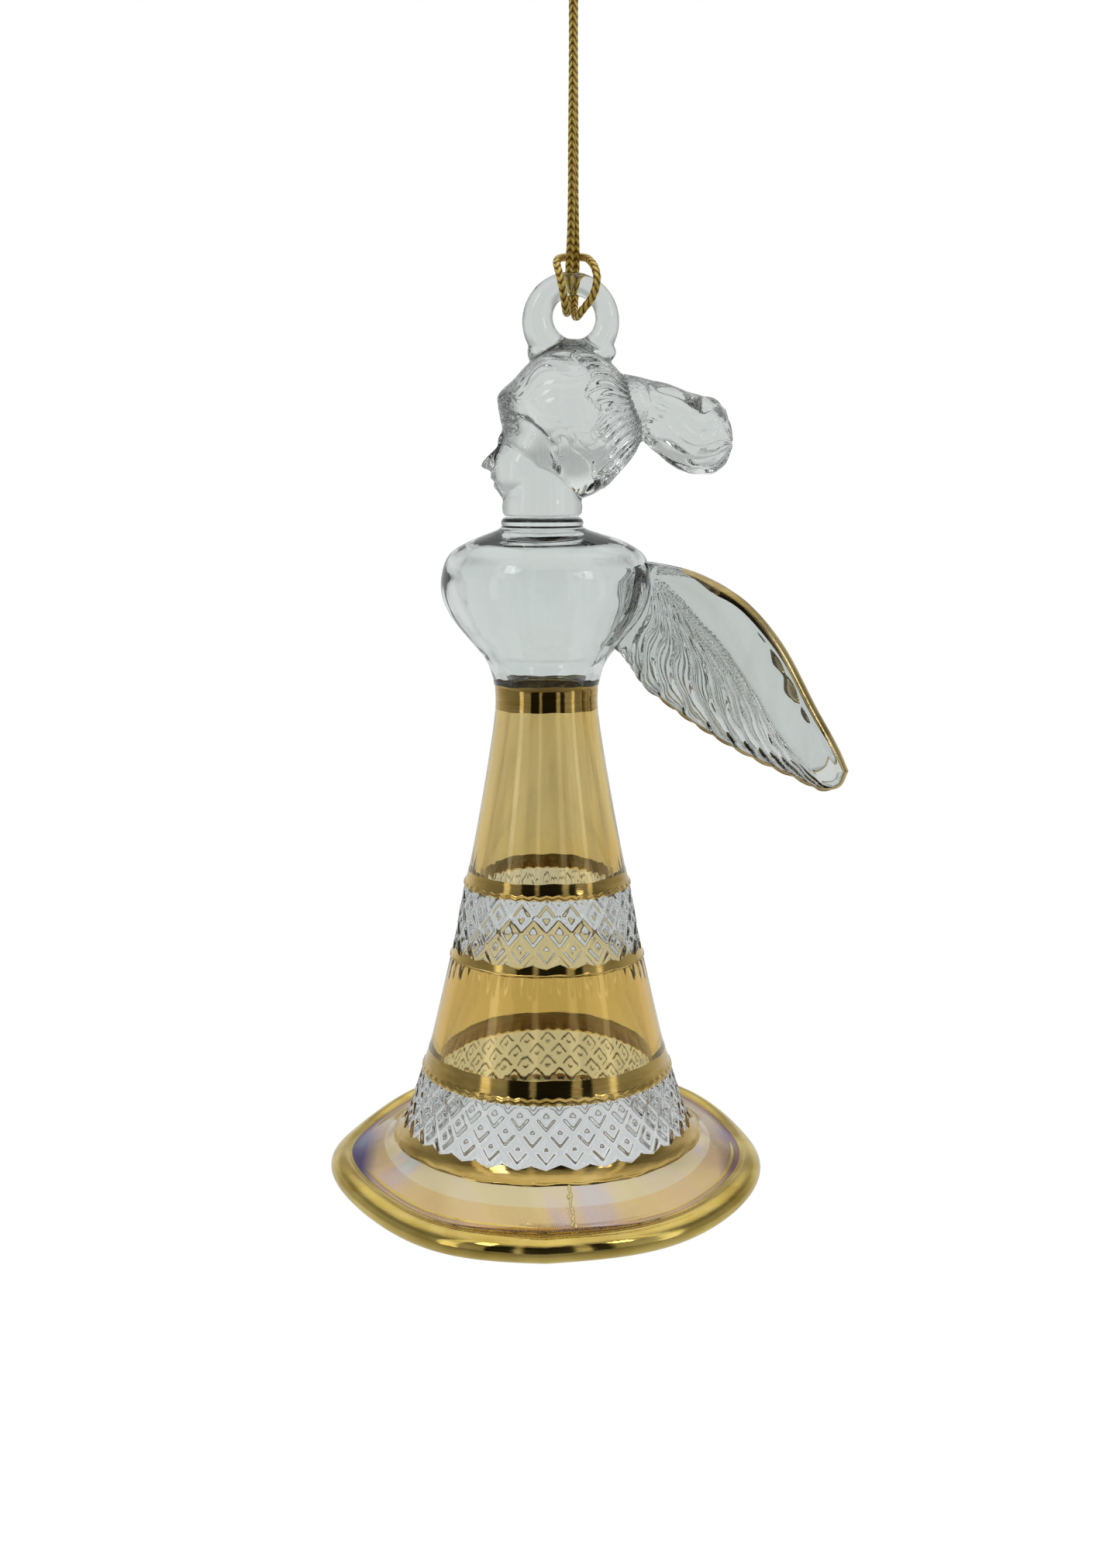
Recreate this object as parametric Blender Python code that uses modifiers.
"""A mouth-blown clear glass angel bell with fired gilding, hanging on a knotted metallic cord.

Metres, +Z up. The origin is the knot at the top of the cord, where the bell is held up.
The figure looks along -X, its wings trail along +X, and the XZ plane is its plane of symmetry.
"""

import math

import bmesh
import bpy
import numpy as np
from mathutils import Matrix, Vector

GAP = 0.0003  # left between pieces that touch

# Hanging cord
CORD_D = 0.0010
KNOT_R = 0.0021
KNOT_STRETCH = 1.15  # height of the knot over its width
TAIL_LENGTH = 0.0065
TAIL_LEAN = 0.0016

# Hanging ring
RING_X = -0.00030
RING_Z = -0.0509
RING_R = 0.0044
RING_TUBE_R = 0.00185

# Blown body: both shells turn about this axis
BODY_X = -0.00345
WALL = 0.0019
WAIST_R = 0.00675
WAIST_Z = -0.0980
TORSO_R = 0.0139
TORSO_TOP_Z = -0.0776
TORSO_WIDEST_Z = -0.0850
# The torso's hollow, whose wall is thicker below the shoulder: (share of the torso's radius, depth below its top).
TORSO_HOLLOW = (
    (0.07, 0.0019),
    (0.50, 0.0021),
    (0.72, 0.0031),
    (0.82, 0.0050),
    (0.81, 0.0069),
    (0.75, 0.0094),
    (0.64, 0.0121),
    (0.50, 0.0152),
)
NECK_X = -0.00400
NECK_R = 0.0048
NECK_TAPER = 0.0004
NECK_TOP_Z = -0.0727
COLLAR_PROUD = 0.0005  # how far the collar's roll stands out from the neck
COLLAR_H = 0.0022

# Skirt: radius and height at the edges of its gilded bands
BAND_1_TOP = (0.01060, -0.12265)
BAND_1_END = (0.01120, -0.12480)
LINE_1_TOP = (0.01275, -0.13330)
LINE_1_END = (0.01305, -0.13450)
BAND_2_TOP = (0.01607, -0.14740)
BAND_2_END = (0.01705, -0.15040)
LINE_2_TOP = (0.01970, -0.15790)
LINE_2_END = (0.02110, -0.15960)
WAIST_BAND_H = 0.0028
WAIST_FLARE = 0.0001  # the skirt widens by this behind the waist band
RIM_R = 0.0277
RIM_Z = -0.16540
RIM_ROLL_R = 0.0017
FLANGE_RUN = (0.0015, 0.0017)  # out and down, from the flange's end to the middle of the rolled rim
BACK_LIFT = 0.0026  # the rim's far side is higher than its near side
LOBES = 5
LOBE_LIFT = 0.0005
LOBE_OUT = 0.0004
LOBE_PHASE = 0.6

# Gilding, as a sleeve that stands off the glass
GILT = 0.00035

# Head and hair
HEAD_TOP_Z = -0.0543
HEAD_BOTTOM_Z = NECK_TOP_Z
HEAD_FRONT_X = -0.0095
HEAD_BACK_X = 0.0091
HEAD_HALF_W = 0.0072
HAIR_ROOT_Z = -0.0606
HAIR_GAP = 0.0005
HAIR_END = (0.0208, -0.0650)
HAIR_HALF_H = 0.0049
HAIR_HALF_W = 0.0036
HAIR_SAG = 0.0016

# Wings
WING_T = 0.0029
WING_ROOT_Y = 0.0026
WING_SPLAY = math.radians(11)
WING_SEAT = 0.00095  # the root line's depth inside the torso's widest radius
SEAT_TOP_Z = -0.0815  # between these heights the wing's inner edge lies along the torso
SEAT_FOOT_Z = -0.0926
WING_ROUND = 0.0006  # rounding of the glass edge
WING_EDGE_D = 0.0009  # thickness of the gilded bead along the edge

AROUND = 40  # facets in a full turn

COLOURS = {
    "clear_glass": ((0.86, 0.90, 0.90), 0.03, 0.0),
    "amber_glass": ((0.80, 0.64, 0.30), 0.05, 0.0),
    "gold": ((0.62, 0.44, 0.12), 0.16, 1.0),
    "gold_cord": ((0.60, 0.42, 0.10), 0.38, 0.8),
}


def material(name):
    """The named Principled material, made the first time it is asked for."""
    found = bpy.data.materials.get(name)
    if found:
        return found
    colour, roughness, metallic = COLOURS[name]
    made = bpy.data.materials.new(name)
    made.use_nodes = True
    shader = made.node_tree.nodes["Principled BSDF"]
    shader.inputs["Base Color"].default_value = (*colour, 1)
    shader.inputs["Roughness"].default_value = roughness
    shader.inputs["Metallic"].default_value = metallic
    if "glass" in name:
        shader.inputs["Transmission Weight"].default_value = 0.9
    return made


def collection(name):
    made = bpy.data.collections.new(name)
    bpy.context.scene.collection.children.link(made)
    return made


def add(name, data, finish, smooth=True):
    """An object of the bell, with its material, in the bell's collection."""
    obj = bpy.data.objects.new(name, data)
    bpy.data.collections["glass_angel_bell"].objects.link(obj)
    data.materials.append(material(finish))
    if smooth and hasattr(data, "shade_smooth"):
        data.shade_smooth()
    return obj


def as_mesh(obj):
    """The evaluated mesh of obj, welded, in world space; obj is removed."""
    bpy.context.view_layer.update()
    graph = bpy.context.evaluated_depsgraph_get()
    mesh = bpy.data.meshes.new_from_object(obj.evaluated_get(graph))
    mesh.transform(obj.matrix_world)
    built = bmesh.new()
    built.from_mesh(mesh)
    bmesh.ops.remove_doubles(built, verts=built.verts, dist=1e-6)
    built.to_mesh(mesh)
    built.free()
    bpy.data.objects.remove(obj)
    return mesh


def join(obj, other):
    """Joins other to obj by a Boolean union, and keeps other as its hidden operand."""
    bpy.data.collections["glass_angel_bell"].objects.unlink(other)
    bpy.data.collections["helpers"].objects.link(other)
    other.hide_render = True
    other.display_type = "WIRE"
    union = obj.modifiers.new("join_" + other.name, "BOOLEAN")
    union.operation = "UNION"
    union.object = other
    return obj


def ring_profile(outer, inner):
    """A closed profile: the outer side from the top down, then the inner side from the bottom up."""
    return [*outer, *reversed(inner)]


def turned(name, profile, axis_x, finish, closed=True):
    """Turns a profile of (radius, height) points about the vertical line at axis_x."""
    mesh = bpy.data.meshes.new(name)
    count = len(profile)
    edges = [(i, i + 1) for i in range(count - 1)]
    if closed:
        edges.append((count - 1, 0))
    mesh.from_pydata([(r, 0, z) for r, z in profile], edges, [])
    obj = add(name, mesh, finish, smooth=False)
    obj.location.x = axis_x
    screw = obj.modifiers.new("turn", "SCREW")
    screw.steps = screw.render_steps = AROUND
    screw.use_merge_vertices = True
    screw.merge_threshold = 0.00001
    screw.use_smooth_shade = True
    return obj


def skirt_outline():
    """The skirt's outer side from the waist to the start of the rolled rim."""
    upper = (WAIST_R + WAIST_FLARE, WAIST_Z - WAIST_BAND_H)
    bands = [BAND_1_TOP, BAND_1_END, LINE_1_TOP, LINE_1_END, BAND_2_TOP, BAND_2_END, LINE_2_TOP, LINE_2_END]
    flange_end = (RIM_R - FLANGE_RUN[0], RIM_Z + FLANGE_RUN[1])
    return [(WAIST_R, WAIST_Z), upper, *bands, flange_end]


def offset_inward(outline, distance):
    """The outline moved inward, square to itself, by distance."""
    points = [Vector(p) for p in outline]
    moved = []
    for i, point in enumerate(points):
        along = (points[min(i + 1, len(points) - 1)] - points[max(i - 1, 0)]).normalized()
        moved.append(tuple(point - distance * Vector((-along.y, along.x))))
    return moved


def lifted(x, y, z):
    """Where a turned point of the wide edge goes, once the edge is lobed and lifted at the back."""
    dx = x - BODY_X
    radius = math.hypot(dx, y)
    reach = (radius - LINE_2_END[0]) / (RIM_R - LINE_2_END[0])
    share = min(max(reach, 0), 1)
    share = share * share * (3 - 2 * share)
    angle = math.atan2(dx, -y)
    lift = BACK_LIFT * abs(math.sin(angle / 2)) + LOBE_LIFT * math.cos(LOBES * angle)
    out = 1 + share * LOBE_OUT / RIM_R * math.cos(LOBES * angle + LOBE_PHASE)
    return BODY_X + dx * out, y * out, z + share * lift


def lobed(obj):
    """Makes obj a plain mesh and moves its wide edge into the rim's lobes."""
    name, finish = obj.name, obj.data.materials[0].name
    mesh = as_mesh(obj)
    for vertex in mesh.vertices:
        vertex.co = lifted(*vertex.co)
    mesh.materials.clear()
    return add(name, mesh, finish)


def arc(centre, radius, start, end, steps):
    """Points (radius, height) on a circle about centre; angles in degrees from the outward direction."""
    turn = [math.radians(start + (end - start) * i / steps) for i in range(steps + 1)]
    return [(centre[0] + radius * math.cos(a), centre[1] + radius * math.sin(a)) for a in turn]


def make_skirt():
    outer = skirt_outline()
    inner = offset_inward(outer, WALL)
    # The gilded roll stands off this bead, which is the glass inside it.
    bead = arc((RIM_R, RIM_Z), RIM_ROLL_R - GILT - GAP, 100, -180, 8)
    return lobed(turned("skirt", [*outer, *bead, *reversed(inner)], BODY_X, "amber_glass"))


def make_rim_gold():
    roll = arc((RIM_R, RIM_Z), RIM_ROLL_R, 75, -165, 8)
    lining = arc((RIM_R, RIM_Z), RIM_ROLL_R - GILT, 75, -165, 8)
    return lobed(turned("rim_gold", ring_profile(roll, lining), BODY_X, "gold"))


def make_band(name, top, end):
    """A gilded band as a thin sleeve just off the skirt, between two (radius, height) edges."""
    outer = [(top[0] + GAP + GILT, top[1]), (end[0] + GAP + GILT, end[1])]
    inner = [(top[0] + GAP, top[1]), (end[0] + GAP, end[1])]
    return turned(name, ring_profile(outer, inner), BODY_X, "gold")


def make_waist_gold():
    """The waist band covers the joint between the torso and the skirt."""
    radius = WAIST_R + WAIST_FLARE
    return make_band("waist_gold", (radius, WAIST_Z + GAP), (radius, WAIST_Z - WAIST_BAND_H))


def torso_outline():
    """The torso's outer side from the foot of the neck to the waist."""
    shoulder = TORSO_TOP_Z - TORSO_WIDEST_Z
    belly = TORSO_WIDEST_Z - WAIST_Z
    return [
        (NECK_R + 0.0016, TORSO_TOP_Z - 0.03 * shoulder),
        (0.75 * TORSO_R, TORSO_TOP_Z - 0.19 * shoulder),
        (0.93 * TORSO_R, TORSO_TOP_Z - 0.43 * shoulder),
        (TORSO_R, TORSO_WIDEST_Z),
        (0.92 * TORSO_R, TORSO_WIDEST_Z - 0.26 * belly),
        (0.70 * TORSO_R, TORSO_WIDEST_Z - 0.56 * belly),
        (0.57 * TORSO_R, TORSO_WIDEST_Z - 0.74 * belly),
        (WAIST_R, WAIST_Z + 2 * GAP),
    ]


def torso_radius(z):
    """The torso's outer radius at a height, read off its outline."""
    radii, heights = zip(*reversed(torso_outline()))
    return float(np.interp(z, heights, radii))


def make_torso():
    """A blown bulb, closed over by its shoulders and open downward into the skirt."""
    outer = torso_outline()
    inner = [(share * TORSO_R, TORSO_TOP_Z - drop) for share, drop in TORSO_HOLLOW]
    inner.append((WAIST_R - WALL, outer[-1][1]))
    crown = (0, TORSO_TOP_Z)
    ceiling = (0, inner[0][1])
    return turned("torso", [crown, *outer, *reversed(inner), ceiling], BODY_X, "clear_glass", closed=False)


def make_neck():
    """The neck and its collar roll, between the torso and the head."""
    low = TORSO_TOP_Z + GAP
    centre = (NECK_R + COLLAR_PROUD - COLLAR_H / 2, low + COLLAR_H / 2)
    roll = arc(centre, COLLAR_H / 2, 90, -90, 6)
    top, foot = (NECK_R, NECK_TOP_Z - GAP), (NECK_R - NECK_TAPER, low + COLLAR_H)
    outline = [(0, top[1]), top, foot, *roll, (0, low)]
    return turned("neck", outline, NECK_X, "clear_glass", closed=False)


def lofted(name, sections, finish):
    """Skins a row of closed sections, each a list of points, and caps both ends."""
    built = bmesh.new()
    rings = [[built.verts.new(p) for p in section] for section in sections]
    count = len(rings[0])
    for low, high in zip(rings, rings[1:]):
        for i in range(count):
            j = (i + 1) % count
            built.faces.new((low[i], low[j], high[j], high[i]))
    built.faces.new(reversed(rings[0]))
    built.faces.new(rings[-1])
    bmesh.ops.recalc_face_normals(built, faces=built.faces)
    mesh = bpy.data.meshes.new(name)
    built.to_mesh(mesh)
    built.free()
    return add(name, mesh, finish)


def ellipse(centre, across, side, count=20):
    """Points round centre; across and side are the half-axis vectors."""
    turn = [2 * math.pi * i / count for i in range(count)]
    return [Vector(centre) + math.cos(a) * Vector(across) + math.sin(a) * Vector(side) for a in turn]


def make_head():
    """A plain oval head: sections from the jaw to the crown, its front pushed out by nose and brow."""
    height = HEAD_TOP_Z - HEAD_BOTTOM_Z
    # share of the height, front and back as shares of the head's depth, half width as a share
    levels = [
        (0.00, 0.04, 0.56, 0.60),
        (0.05, 0.03, 0.62, 0.72),
        (0.16, 0.00, 0.74, 0.86),
        (0.27, -0.05, 0.83, 0.94),
        (0.36, -0.08, 0.90, 0.98),
        (0.46, 0.02, 0.96, 1.00),
        (0.60, 0.01, 1.00, 1.00),
        (0.74, 0.00, 0.98, 0.94),
        (0.86, 0.08, 0.90, 0.80),
        (0.95, 0.24, 0.76, 0.56),
        (1.00, 0.36, 0.64, 0.30),
    ]
    depth = HEAD_BACK_X - HEAD_FRONT_X
    sections = []
    for share, front, back, wide in levels:
        middle = HEAD_FRONT_X + depth * (front + back) / 2
        half = depth * (back - front) / 2
        z = HEAD_BOTTOM_Z + share * height
        sections.append(ellipse((middle, 0, z), (half, 0, 0), (0, wide * HEAD_HALF_W, 0)))
    return lofted("head", sections, "clear_glass")


def make_ponytail():
    """The flattened lobe of gathered hair behind the head."""
    root = Vector((HEAD_BACK_X + HAIR_GAP, 0, HAIR_ROOT_Z))
    end = Vector((HAIR_END[0], 0, HAIR_END[1]))
    along = (end - root).normalized()
    up = Vector((-along.z, 0, along.x))
    # share of the length, and the section's size as a share of the widest
    swelling = [(0, 0.42), (0.15, 0.52), (0.35, 0.74), (0.55, 0.93)]
    swelling += [(0.75, 1.0), (0.9, 0.86), (0.98, 0.55), (1.0, 0.3)]
    sections = []
    for share, size in swelling:
        centre = root.lerp(end, share) - Vector((0, 0, HAIR_SAG * share * share))
        sections.append(ellipse(centre, size * HAIR_HALF_H * up, (0, size * HAIR_HALF_W, 0), 14))
    return lofted("ponytail", sections, "clear_glass")


def make_ring():
    """The glass ring stands in the plane of symmetry; a flat at its foot clears the head."""
    bpy.ops.mesh.primitive_torus_add(
        major_radius=RING_R,
        minor_radius=RING_TUBE_R,
        major_segments=32,
        minor_segments=14,
        location=(RING_X, 0, RING_Z),
        rotation=(math.pi / 2, 0, 0),
    )
    torus = bpy.context.object
    torus.name = "torus_blank"
    mesh = as_mesh(torus)
    ring = add("hanging_ring", mesh, "clear_glass")
    cut = ring.modifiers.new("foot", "BOOLEAN")
    cut.operation = "DIFFERENCE"
    cut.object = box_helper("ring_foot", (RING_X, 0, HEAD_TOP_Z + GAP - 0.005), (0.03, 0.03, 0.01))
    return ring


def box_helper(name, centre, size):
    """A hidden cutter box."""
    built = bmesh.new()
    bmesh.ops.create_cube(built, size=1, matrix=Matrix.Translation(centre) @ Matrix.Diagonal((*size, 1)))
    mesh = bpy.data.meshes.new(name)
    built.to_mesh(mesh)
    built.free()
    obj = bpy.data.objects.new(name, mesh)
    bpy.data.collections["helpers"].objects.link(obj)
    obj.hide_render = True
    obj.display_type = "WIRE"
    return obj


def wing_hinge_x():
    """Where the wings' root line crosses the plane of symmetry's X axis, just inside the torso's back."""
    return BODY_X + TORSO_R - WING_SEAT


def wing_outline():
    """The wing's edge in its own plane: (distance back from the root line, height). It seats on the torso."""
    low, high = SEAT_FOOT_Z + 2 * WING_ROUND, SEAT_TOP_Z - 2 * WING_ROUND
    heights = [z for _, z in reversed(torso_outline()) if low < z < high]
    seat = []
    for z in (SEAT_FOOT_Z, *heights, SEAT_TOP_Z):
        seat.append((BODY_X + torso_radius(z) + GAP - wing_hinge_x(), z))
    leading = [seat[-1], (0.0042, -0.0824), (0.0084, -0.0840), (0.0127, -0.0866), (0.0173, -0.0920)]
    tip = [(0.0222, -0.1010), (0.0252, -0.1062), (0.0270, -0.1092), (0.0262, -0.1112), (0.0242, -0.1118)]
    trailing = [(0.0199, -0.1101), (0.0153, -0.1082), (0.0106, -0.1056), (0.0060, -0.1025), (0.0026, -0.0998)]
    inner = [(-0.0005, -0.0972), (-0.0020, -0.0950), *seat[:-1]]
    return leading, tip, trailing, inner


def wing_frame(side):
    """The wing's plane: its root line stands upright beside the plane of symmetry, and its tip splays out."""
    root = Matrix.Translation((wing_hinge_x(), side * WING_ROOT_Y, 0))
    return root @ Matrix.Rotation(side * WING_SPLAY, 4, "Z")


def make_wing(name, side):
    """A pressed glass wing: a flat outline with rounded edges."""
    curve = bpy.data.curves.new(name, "CURVE")
    curve.dimensions = "2D"
    curve.fill_mode = "BOTH"
    curve.extrude = WING_T / 2 - WING_ROUND
    curve.bevel_depth = WING_ROUND
    curve.bevel_resolution = 1
    curve.offset = -WING_ROUND
    spline = curve.splines.new("POLY")
    points = [p for stretch in wing_outline() for p in stretch]
    spline.points.add(len(points) - 1)
    for point, (u, z) in zip(spline.points, points):
        point.co = (u, z, 0, 1)
    spline.use_cyclic_u = True
    blank = bpy.data.objects.new("wing_blank", curve)
    bpy.data.collections["glass_angel_bell"].objects.link(blank)
    blank.matrix_world = wing_frame(side) @ Matrix.Rotation(math.pi / 2, 4, "X")
    return add(name, as_mesh(blank), "clear_glass")


def tube(name, points, radius, finish, resolution=2):
    """A round rod along points, with filled ends."""
    curve = bpy.data.curves.new(name, "CURVE")
    curve.dimensions = "3D"
    curve.bevel_depth = radius
    curve.bevel_resolution = resolution
    curve.use_fill_caps = True
    spline = curve.splines.new("POLY")
    spline.points.add(len(points) - 1)
    for point, place in zip(spline.points, points):
        point.co = (*place, 1)
    return add(name, curve, finish)


def make_wing_gold(name, side):
    """The gilded edge of a wing: a bead that stands off the glass from the shoulder to the inner feather."""
    leading, tip, trailing, _ = wing_outline()
    edge = [Vector(p) for p in (*leading[1:], *tip, *trailing)]
    frame = wing_frame(side)
    out = []
    for i, point in enumerate(edge):
        along = (edge[min(i + 1, len(edge) - 1)] - edge[max(i - 1, 0)]).normalized()
        away = point + (GAP + WING_EDGE_D / 2) * Vector((-along.y, along.x))
        out.append(frame @ Vector((away.x, 0, away.y)))
    return tube(name, out, WING_EDGE_D / 2, "gold", 1)


def smooth_path(route, spacing):
    """Points at an even spacing along a Catmull-Rom curve through the route's own points."""
    p = np.array([route[0], *route, route[-1]], float)
    dense = []
    for i in range(1, len(p) - 2):
        for t in np.linspace(0, 1, 24, endpoint=False):
            before, here, there, after = p[i - 1 : i + 3]
            bend = 2 * before - 5 * here + 4 * there - after
            twist = -before + 3 * here - 3 * there + after
            dense.append(0.5 * (2 * here + (there - before) * t + bend * t * t + twist * t**3))
    dense = np.array([*dense, p[-1]])
    length = np.concatenate([[0], np.cumsum(np.linalg.norm(np.diff(dense, axis=0), axis=1))])
    count = max(int(round(length[-1] / spacing)), 2)
    at = np.linspace(0, length[-1], count + 1)
    return [tuple(np.interp(a, length, dense[:, k]) for k in range(3)) for a in at]


# The cord's route, in metres. Both legs drop from the knot, pass behind the ring and forward through it,
# and climb in front of it; they meet behind the legs, which closes the hitch.
LEG_NEAR = [(-0.0003, -0.0006, -0.0028), (-0.0002, -0.0006, -0.0160), (-0.0003, -0.0006, -0.0300)]
LEG_FAR = [(0.0003, 0.0006, -0.0028), (0.0002, 0.0006, -0.0160), (0.0003, 0.0006, -0.0300)]
HITCH_NEAR = [
    (-0.0003, -0.0006, -0.0303),
    (-0.0004, -0.0004, -0.0340),
    (-0.0006, 0.0007, -0.0395),
    (-0.0007, 0.0022, -0.0435),
    (-0.0008, 0.0029, -0.0465),
    (-0.0010, 0.0020, -0.0489),
    (-0.0013, -0.0001, -0.0496),
    (-0.0016, -0.0021, -0.0488),
    (-0.0018, -0.0028, -0.0465),
    (-0.0020, -0.0022, -0.0447),
    (-0.0023, -0.0003, -0.0433),
    (-0.0022, 0.0022, -0.0427),
    (-0.0013, 0.0042, -0.0424),
    (0.0002, 0.0050, -0.0423),
]
HITCH_FAR = [
    (0.0003, 0.0006, -0.0303),
    (0.0004, 0.0009, -0.0340),
    (0.0006, 0.0021, -0.0390),
    (0.0007, 0.0032, -0.0430),
    (0.0007, 0.0035, -0.0465),
    (0.0007, 0.0024, -0.0491),
    (0.0008, 0.0000, -0.0501),
    (0.0014, -0.0022, -0.0493),
    (0.0024, -0.0033, -0.0474),
    (0.0029, -0.0034, -0.0452),
    (0.0027, -0.0020, -0.0435),
    (0.0025, 0.0004, -0.0428),
    (0.0024, 0.0028, -0.0425),
    (0.0016, 0.0045, -0.0423),
    (0.0005, 0.0050, -0.0423),
]
POINT_SPACING = 2.2 * CORD_D


def make_cord():
    for name, route, spacing in (
        ("cord_leg_near", LEG_NEAR, 2 * POINT_SPACING),
        ("cord_leg_far", LEG_FAR, 2 * POINT_SPACING),
        ("cord_hitch_near", HITCH_NEAR, POINT_SPACING / 2),
        ("cord_hitch_far", HITCH_FAR, POINT_SPACING / 2),
    ):
        tube(name, smooth_path(route, spacing), CORD_D / 2, "gold_cord", 1)


def make_knot():
    """The overhand knot that ties both ends of the cord, and its two short tails."""
    built = bmesh.new()
    stretch = Matrix.Diagonal((1, 1, KNOT_STRETCH, 1))
    bmesh.ops.create_uvsphere(built, u_segments=16, v_segments=10, radius=KNOT_R, matrix=stretch)
    mesh = bpy.data.meshes.new("cord_knot")
    built.to_mesh(mesh)
    built.free()
    knot = add("cord_knot", mesh, "gold_cord")
    for name, side in (("tail_left", -1), ("tail_right", 1)):
        foot = (side * CORD_D / 2, 0, KNOT_R / 2)
        top = (side * TAIL_LEAN, 0, TAIL_LENGTH)
        blank = tube(name + "_blank", [foot, top], CORD_D / 2, "gold_cord", 1)
        join(knot, add(name, as_mesh(blank), "gold_cord"))
    return knot


def pivot(name, place, carried_by=None):
    """An empty on a joint's axis, for what turns there to hang from."""
    empty = bpy.data.objects.new(name, None)
    bpy.data.collections["glass_angel_bell"].objects.link(empty)
    empty.location = place
    empty.empty_display_size = KNOT_R
    bpy.context.view_layer.update()
    if carried_by:
        hang(empty, carried_by)
    return empty


def hang(obj, empty):
    """Parents obj to an empty and leaves it where it is."""
    obj.parent = empty
    obj.matrix_parent_inverse = empty.matrix_world.inverted()


def hang_on_joints():
    """Each piece hangs from the joint it moves with: at the knot, above the hitch, or at the ring."""
    swing = pivot("cord_swing_pivot", (0, 0, 0))
    turn = pivot("cord_turn_pivot", (0, 0, LEG_NEAR[-1][2]), swing)
    rock = pivot("bell_rock_pivot", (RING_X, 0, RING_Z), turn)
    for obj in bpy.data.collections["glass_angel_bell"].objects:
        if obj.type == "EMPTY" or obj.name == "cord_knot":
            continue
        if obj.name.startswith("cord_leg"):
            hang(obj, swing)
        elif obj.name.startswith("cord_hitch"):
            hang(obj, turn)
        else:
            hang(obj, rock)


def main():
    for obj in list(bpy.data.objects):
        bpy.data.objects.remove(obj)
    collection("glass_angel_bell")
    collection("helpers")
    make_knot()
    make_cord()
    make_ring()
    make_head()
    make_ponytail()
    make_neck()
    make_torso()
    make_skirt()
    make_waist_gold()
    make_band("band_gold_upper", BAND_1_TOP, BAND_1_END)
    make_band("line_gold_upper", LINE_1_TOP, LINE_1_END)
    make_band("band_gold_lower", BAND_2_TOP, BAND_2_END)
    make_band("line_gold_lower", LINE_2_TOP, LINE_2_END)
    make_rim_gold()
    for word, side in (("near", -1), ("far", 1)):
        make_wing("wing_" + word, side)
        make_wing_gold("wing_gold_" + word, side)
    hang_on_joints()


main()
